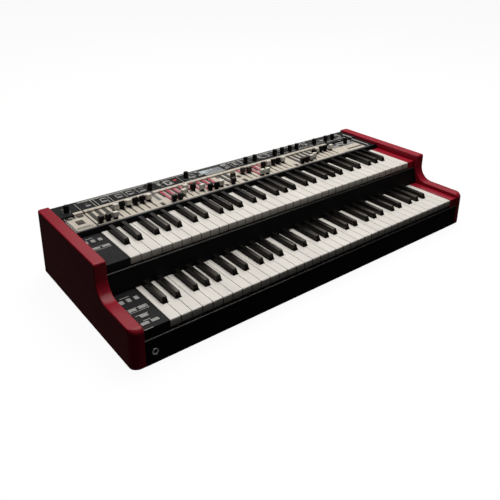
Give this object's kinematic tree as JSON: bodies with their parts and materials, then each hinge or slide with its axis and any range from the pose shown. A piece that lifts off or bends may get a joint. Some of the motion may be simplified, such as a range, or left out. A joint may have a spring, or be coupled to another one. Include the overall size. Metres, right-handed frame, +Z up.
{
  "type": "electronic organ",
  "caption": "Electronic organ with an upper and a lower manual of waterfall keys, sliding drawbars, rotary knobs, buttons and a display between lacquered cheeks.",
  "frame": {"origin": "on the ground, midway between the cheeks' outer sides and midway between their fronts and backs", "axes": "+X to the player's right, +Y away from the player, +Z up"},
  "size_m": [0.978, 0.43, 0.1714],
  "materials": {
    "lacquer": "red lacquered wood, semi-gloss",
    "lacquer_block": "red, semi-gloss",
    "pan": "black coated sheet",
    "black_sheet": "black, satin",
    "panel": "charcoal and cream, satin, printed",
    "charcoal": "charcoal, satin",
    "keybed": "bare sheet",
    "natural": "off-white, semi-gloss",
    "sharp": "black, glossy",
    "drawbar": "black, brown and white knobs on marked shafts",
    "knob": "black, fluted",
    "button": "grey, satin",
    "window": "blue-grey display",
    "socket": "polished",
    "fitting": "black",
    "board": "green circuit board",
    "supply": "block that stands in for the supply",
    "foot": "black"
  },
  "bodies": {
    "case": {"base_pan": "pan", "left_cheek": "lacquer", "right_cheek": "lacquer", "front_rail": "black_sheet", "riser_panel": "black_sheet", "control_panel": "panel", "back_panel": "black_sheet", "upper_left_block": "charcoal", "lower_left_block": "charcoal", "upper_right_block": "lacquer_block", "lower_right_block": "lacquer_block", "upper_keybed": "keybed", "lower_keybed": "keybed", "main_board": "board", "panel_board": "board", "power_supply": "supply", "display_window": "window", "headphone_jack": "socket", "mains_inlet": "fitting", "rear_jack_board": "fitting", "foot_front_left": "foot", "foot_front_right": "foot", "foot_rear_left": "foot", "foot_rear_right": "foot"},
    "power_switch": {"power_switch": "fitting"},
    "volume_knob": {"volume_knob": "knob"},
    "rotary_drive_knob": {"rotary_drive_knob": "knob"},
    "display_dial": {"display_dial": "knob"},
    "effect_rate_knob": {"effect_rate_knob": "knob"},
    "effect_depth_knob": {"effect_depth_knob": "knob"},
    "drive_knob": {"drive_knob": "knob"},
    "bass_knob": {"bass_knob": "knob"},
    "middle_knob": {"middle_knob": "knob"},
    "treble_knob": {"treble_knob": "knob"},
    "delay_mix_knob": {"delay_mix_knob": "knob"},
    "delay_time_knob": {"delay_time_knob": "knob"},
    "reverb_knob": {"reverb_knob": "knob"},
    "split_knob": {"split_knob": "knob"},
    "lower_naturals": {"lower_naturals": "natural"},
    "lower_sharps": {"lower_sharps": "sharp"},
    "lower_key_c": {"lower_key_c": "natural"},
    "lower_key_c_sharp": {"lower_key_c_sharp": "sharp"},
    "lower_key_d": {"lower_key_d": "natural"},
    "lower_key_d_sharp": {"lower_key_d_sharp": "sharp"},
    "upper_naturals": {"upper_naturals": "natural"},
    "upper_sharps": {"upper_sharps": "sharp"},
    "drawbar_1": {"drawbar_1": "drawbar"},
    "drawbar_2": {"drawbar_2": "drawbar"},
    "drawbar_3": {"drawbar_3": "drawbar"},
    "drawbar_4": {"drawbar_4": "drawbar"},
    "drawbar_5": {"drawbar_5": "drawbar"},
    "drawbar_6": {"drawbar_6": "drawbar"},
    "drawbar_7": {"drawbar_7": "drawbar"},
    "drawbar_8": {"drawbar_8": "drawbar"},
    "drawbar_9": {"drawbar_9": "drawbar"},
    "drawbars_pulled_out": {"drawbars_pulled_out": "drawbar"},
    "drawbars_pushed_in": {"drawbars_pushed_in": "drawbar"},
    "lower_block_buttons": {"lower_block_buttons": "button"},
    "upper_block_buttons": {"upper_block_buttons": "button"},
    "panel_buttons": {"panel_buttons": "button"}
  },
  "joints": [
    {"name": "lower_naturals_press", "type": "hinge", "parent": "case", "child": "lower_naturals", "pos_m": [0, -0.0155, 0.0659], "axis": [1, 0, 0], "range_deg": [0, 2.94], "stiffness_Nm_per_rad": 8, "springref_deg": -25.78},
    {"name": "lower_sharps_press", "type": "hinge", "parent": "case", "child": "lower_sharps", "pos_m": [0, -0.0155, 0.0659], "axis": [1, 0, 0], "range_deg": [0, 2.94], "stiffness_Nm_per_rad": 5, "springref_deg": -22.92},
    {"name": "lower_key_c_press", "type": "hinge", "parent": "case", "child": "lower_key_c", "pos_m": [0, -0.0155, 0.0659], "axis": [1, 0, 0], "range_deg": [0, 2.94], "stiffness_Nm_per_rad": 0.22, "springref_deg": -25.78},
    {"name": "lower_key_c_sharp_press", "type": "hinge", "parent": "case", "child": "lower_key_c_sharp", "pos_m": [0, -0.0155, 0.0659], "axis": [1, 0, 0], "range_deg": [0, 2.94], "stiffness_Nm_per_rad": 0.22, "springref_deg": -25.78},
    {"name": "lower_key_d_press", "type": "hinge", "parent": "case", "child": "lower_key_d", "pos_m": [0, -0.0155, 0.0659], "axis": [1, 0, 0], "range_deg": [0, 2.94], "stiffness_Nm_per_rad": 0.22, "springref_deg": -25.78},
    {"name": "lower_key_d_sharp_press", "type": "hinge", "parent": "case", "child": "lower_key_d_sharp", "pos_m": [0, -0.0155, 0.0659], "axis": [1, 0, 0], "range_deg": [0, 2.94], "stiffness_Nm_per_rad": 0.22, "springref_deg": -25.78},
    {"name": "upper_naturals_press", "type": "hinge", "parent": "case", "child": "upper_naturals", "pos_m": [0, 0.1275, 0.1274], "axis": [1, 0, 0], "range_deg": [0, 2.94], "stiffness_Nm_per_rad": 8, "springref_deg": -25.78},
    {"name": "upper_sharps_press", "type": "hinge", "parent": "case", "child": "upper_sharps", "pos_m": [0, 0.1275, 0.1274], "axis": [1, 0, 0], "range_deg": [0, 2.94], "stiffness_Nm_per_rad": 5, "springref_deg": -22.92},
    {"name": "drawbar_1_slide", "type": "slide", "parent": "case", "child": "drawbar_1", "axis": [0, -1, 0], "range_m": [-0.038, 0]},
    {"name": "drawbar_2_slide", "type": "slide", "parent": "case", "child": "drawbar_2", "axis": [0, -1, 0], "range_m": [-0.038, 0]},
    {"name": "drawbar_3_slide", "type": "slide", "parent": "case", "child": "drawbar_3", "axis": [0, -1, 0], "range_m": [-0.038, 0]},
    {"name": "drawbar_4_slide", "type": "slide", "parent": "case", "child": "drawbar_4", "axis": [0, -1, 0], "range_m": [-0.004, 0.034]},
    {"name": "drawbar_5_slide", "type": "slide", "parent": "case", "child": "drawbar_5", "axis": [0, -1, 0], "range_m": [0, 0.038]},
    {"name": "drawbar_6_slide", "type": "slide", "parent": "case", "child": "drawbar_6", "axis": [0, -1, 0], "range_m": [0, 0.038]},
    {"name": "drawbar_7_slide", "type": "slide", "parent": "case", "child": "drawbar_7", "axis": [0, -1, 0], "range_m": [0, 0.038]},
    {"name": "drawbar_8_slide", "type": "slide", "parent": "case", "child": "drawbar_8", "axis": [0, -1, 0], "range_m": [0, 0.038]},
    {"name": "drawbar_9_slide", "type": "slide", "parent": "case", "child": "drawbar_9", "axis": [0, -1, 0], "range_m": [0, 0.038]},
    {"name": "drawbars_pulled_out_slide", "type": "slide", "parent": "case", "child": "drawbars_pulled_out", "axis": [0, -1, 0], "range_m": [-0.024, 0]},
    {"name": "drawbars_pushed_in_slide", "type": "slide", "parent": "case", "child": "drawbars_pushed_in", "axis": [0, -1, 0], "range_m": [0, 0.026]},
    {"name": "volume_knob_turn", "type": "hinge", "parent": "case", "child": "volume_knob", "pos_m": [-0.4375, 0.174, 0.154], "axis": [0, 0, 1], "range_deg": [-150, 150]},
    {"name": "rotary_drive_knob_turn", "type": "hinge", "parent": "case", "child": "rotary_drive_knob", "pos_m": [-0.2301, 0.174, 0.154], "axis": [0, 0, 1], "range_deg": [-150, 150]},
    {"name": "display_dial_turn", "type": "hinge", "parent": "case", "child": "display_dial", "pos_m": [-0.1229, 0.183, 0.154], "axis": [0, 0, 1], "continuous": true},
    {"name": "effect_rate_knob_turn", "type": "hinge", "parent": "case", "child": "effect_rate_knob", "pos_m": [0.06005, 0.175, 0.154], "axis": [0, 0, 1], "range_deg": [-150, 150]},
    {"name": "effect_depth_knob_turn", "type": "hinge", "parent": "case", "child": "effect_depth_knob", "pos_m": [0.0915, 0.175, 0.154], "axis": [0, 0, 1], "range_deg": [-150, 150]},
    {"name": "drive_knob_turn", "type": "hinge", "parent": "case", "child": "drive_knob", "pos_m": [0.16205, 0.175, 0.154], "axis": [0, 0, 1], "range_deg": [-150, 150]},
    {"name": "bass_knob_turn", "type": "hinge", "parent": "case", "child": "bass_knob", "pos_m": [0.189, 0.175, 0.154], "axis": [0, 0, 1], "range_deg": [-150, 150]},
    {"name": "middle_knob_turn", "type": "hinge", "parent": "case", "child": "middle_knob", "pos_m": [0.2179, 0.175, 0.154], "axis": [0, 0, 1], "range_deg": [-150, 150]},
    {"name": "treble_knob_turn", "type": "hinge", "parent": "case", "child": "treble_knob", "pos_m": [0.24425, 0.175, 0.154], "axis": [0, 0, 1], "range_deg": [-150, 150]},
    {"name": "delay_mix_knob_turn", "type": "hinge", "parent": "case", "child": "delay_mix_knob", "pos_m": [0.3131, 0.175, 0.154], "axis": [0, 0, 1], "range_deg": [-150, 150]},
    {"name": "delay_time_knob_turn", "type": "hinge", "parent": "case", "child": "delay_time_knob", "pos_m": [0.359, 0.175, 0.154], "axis": [0, 0, 1], "range_deg": [-150, 150]},
    {"name": "reverb_knob_turn", "type": "hinge", "parent": "case", "child": "reverb_knob", "pos_m": [0.38705, 0.175, 0.154], "axis": [0, 0, 1], "range_deg": [-150, 150]},
    {"name": "split_knob_turn", "type": "hinge", "parent": "case", "child": "split_knob", "pos_m": [0.4015, 0.135, 0.15], "axis": [0, 0, 1], "range_deg": [-150, 150]},
    {"name": "lower_block_buttons_press", "type": "slide", "parent": "case", "child": "lower_block_buttons", "axis": [0, 0, -1], "range_m": [0, 0.0008], "stiffness_N_per_m": 500, "springref_m": -0.003},
    {"name": "upper_block_buttons_press", "type": "slide", "parent": "case", "child": "upper_block_buttons", "axis": [0, 0, -1], "range_m": [0, 0.0008], "stiffness_N_per_m": 500, "springref_m": -0.003},
    {"name": "panel_buttons_press", "type": "slide", "parent": "case", "child": "panel_buttons", "axis": [0, 0, -1], "range_m": [0, 0.0008], "stiffness_N_per_m": 500, "springref_m": -0.003},
    {"name": "power_switch_rock", "type": "hinge", "parent": "case", "child": "power_switch", "pos_m": [-0.305, 0.2121, 0.051], "axis": [1, 0, 0], "range_deg": [0, 14]}
  ]
}
